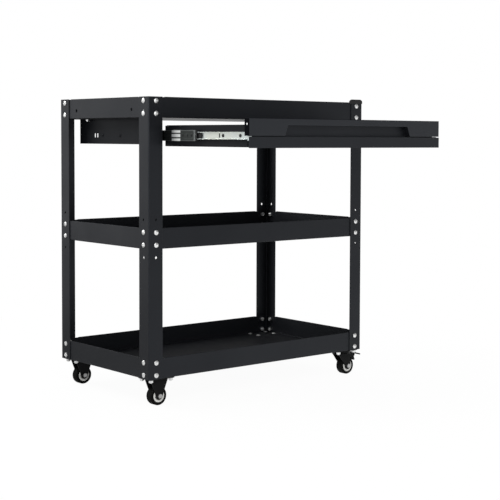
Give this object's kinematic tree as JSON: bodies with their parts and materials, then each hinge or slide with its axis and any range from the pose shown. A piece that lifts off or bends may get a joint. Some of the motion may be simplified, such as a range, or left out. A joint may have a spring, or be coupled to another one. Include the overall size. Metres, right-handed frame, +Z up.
{
  "type": "three-tier tool cart",
  "caption": "Rolling workshop cart of folded black sheet steel: open trays on angle posts, a shallow drawer on telescopic slides under the top tray, two rigid casters and two braked swivel casters.",
  "frame": {"origin": "point on the floor under the middle of the frame", "axes": "+X to the right along the drawer side, +Y towards the back, +Z up; the drawer stands open towards -Y"},
  "size_m": [0.7202, 0.7227, 0.75],
  "materials": {
    "black_powder_coat": "satin powder coat with a fine orange peel",
    "zinc": "bright zinc plate",
    "slide_zinc": "zinc plate with a faint yellow and blue tint",
    "bearing_steel": "polished balls",
    "black_screw": "blackened",
    "black_plastic": "moulded, matt",
    "caster_black": "black paint on stamped steel",
    "tyre_black": "smooth rubber",
    "hub_grey": "light grey moulding"
  },
  "bodies": {
    "frame": {"bottom_tray": "black_powder_coat", "bracket_nuts": "zinc", "bracket_screws": "zinc", "caster_bolts": "zinc", "caster_nuts": "zinc", "front_left_axle": "zinc", "front_left_caster_plate": "caster_black", "front_left_fork": "caster_black", "front_left_post": "black_powder_coat", "front_right_caster_plate": "caster_black", "front_right_post": "black_powder_coat", "kingpins": "zinc", "left_outer_rail": "slide_zinc", "left_slide_bracket": "black_powder_coat", "middle_tray": "black_powder_coat", "outer_rail_screws": "black_screw", "post_caps": "black_plastic", "rear_left_axle": "zinc", "rear_left_caster_plate": "caster_black", "rear_left_fork": "caster_black", "rear_left_post": "black_powder_coat", "rear_right_caster_plate": "caster_black", "rear_right_post": "black_powder_coat", "right_outer_rail": "slide_zinc", "right_slide_bracket": "black_powder_coat", "swivel_balls": "bearing_steel", "top_tray": "black_powder_coat", "tray_bolts": "zinc", "tray_nuts": "zinc"},
    "drawer": {"drawer_box": "black_powder_coat", "drawer_upper_front": "black_powder_coat", "drawer_lower_front": "black_powder_coat", "left_inner_rail": "slide_zinc", "right_inner_rail": "slide_zinc", "inner_rail_screws": "black_screw"},
    "middle_rails": {"left_middle_rail": "slide_zinc", "right_middle_rail": "slide_zinc", "rail_bumpers": "black_plastic"},
    "outer_cages": {"outer_ball_cages": "slide_zinc", "outer_cage_balls": "bearing_steel"},
    "inner_cages": {"inner_ball_cages": "slide_zinc", "inner_cage_balls": "bearing_steel"},
    "left_lever": {"left_release_lever": "black_plastic"},
    "right_lever": {"right_release_lever": "black_plastic"},
    "front_left_wheel": {"front_left_tyre": "tyre_black", "front_left_hub": "hub_grey"},
    "front_right_caster": {"front_right_fork": "caster_black", "front_right_axle": "zinc"},
    "front_right_wheel": {"front_right_tyre": "tyre_black", "front_right_hub": "hub_grey"},
    "rear_left_wheel": {"rear_left_tyre": "tyre_black", "rear_left_hub": "hub_grey"},
    "rear_right_caster": {"rear_right_fork": "caster_black", "rear_right_axle": "zinc"},
    "rear_right_wheel": {"rear_right_tyre": "tyre_black", "rear_right_hub": "hub_grey"},
    "front_right_brake": {"front_right_brake_pedal": "caster_black"},
    "rear_right_brake": {"rear_right_brake_pedal": "caster_black"}
  },
  "joints": [
    {"name": "drawer_slide", "type": "slide", "parent": "frame", "child": "drawer", "axis": [0, -1, 0], "range_m": [-0.32, 0]},
    {"name": "middle_rails_slide", "type": "slide", "parent": "frame", "child": "middle_rails", "axis": [0, -1, 0], "range_m": [-0.1485, 0.0005]},
    {"name": "outer_cages_slide", "type": "slide", "parent": "frame", "child": "outer_cages", "axis": [0, -1, 0], "range_m": [-0.0745, 0.0005]},
    {"name": "inner_cages_slide", "type": "slide", "parent": "frame", "child": "inner_cages", "axis": [0, -1, 0], "range_m": [-0.2345, 0.0005]},
    {"name": "left_lever_tilt", "type": "hinge", "parent": "drawer", "child": "left_lever", "pos_m": [-0.2973, -0.335, 0.65], "axis": [1, 0, 0], "range_deg": [-8, 8], "stiffness_Nm_per_rad": 0.02},
    {"name": "right_lever_tilt", "type": "hinge", "parent": "drawer", "child": "right_lever", "pos_m": [0.2973, -0.335, 0.65], "axis": [1, 0, 0], "range_deg": [-8, 8], "stiffness_Nm_per_rad": 0.02},
    {"name": "front_left_wheel_spin", "type": "hinge", "parent": "frame", "child": "front_left_wheel", "pos_m": [-0.3075, -0.17, 0.023], "axis": [0, 1, 0], "continuous": true},
    {"name": "front_right_swivel", "type": "hinge", "parent": "frame", "child": "front_right_caster", "pos_m": [0.3075, -0.17, 0.0575], "axis": [0, 0, 1], "continuous": true},
    {"name": "front_right_wheel_spin", "type": "hinge", "parent": "front_right_caster", "child": "front_right_wheel", "pos_m": [0.3205, -0.17, 0.023], "axis": [0, 1, 0], "continuous": true},
    {"name": "rear_left_wheel_spin", "type": "hinge", "parent": "frame", "child": "rear_left_wheel", "pos_m": [-0.3075, 0.17, 0.023], "axis": [0, 1, 0], "continuous": true},
    {"name": "rear_right_swivel", "type": "hinge", "parent": "frame", "child": "rear_right_caster", "pos_m": [0.3075, 0.17, 0.0575], "axis": [0, 0, 1], "continuous": true},
    {"name": "rear_right_wheel_spin", "type": "hinge", "parent": "rear_right_caster", "child": "rear_right_wheel", "pos_m": [0.3205, 0.17, 0.023], "axis": [0, 1, 0], "continuous": true},
    {"name": "front_right_brake_press", "type": "hinge", "parent": "front_right_caster", "child": "front_right_brake", "pos_m": [0.3405, -0.17, 0.0515], "axis": [0, 1, 0], "range_deg": [0, 16]},
    {"name": "rear_right_brake_press", "type": "hinge", "parent": "rear_right_caster", "child": "rear_right_brake", "pos_m": [0.3405, 0.17, 0.0515], "axis": [0, 1, 0], "range_deg": [0, 16]}
  ],
  "couplings": [
    {"joint": "middle_rails_slide", "follows": "drawer_slide", "ratio": 0.4625},
    {"joint": "outer_cages_slide", "follows": "drawer_slide", "ratio": 0.23125},
    {"joint": "inner_cages_slide", "follows": "drawer_slide", "ratio": 0.73125}
  ]
}
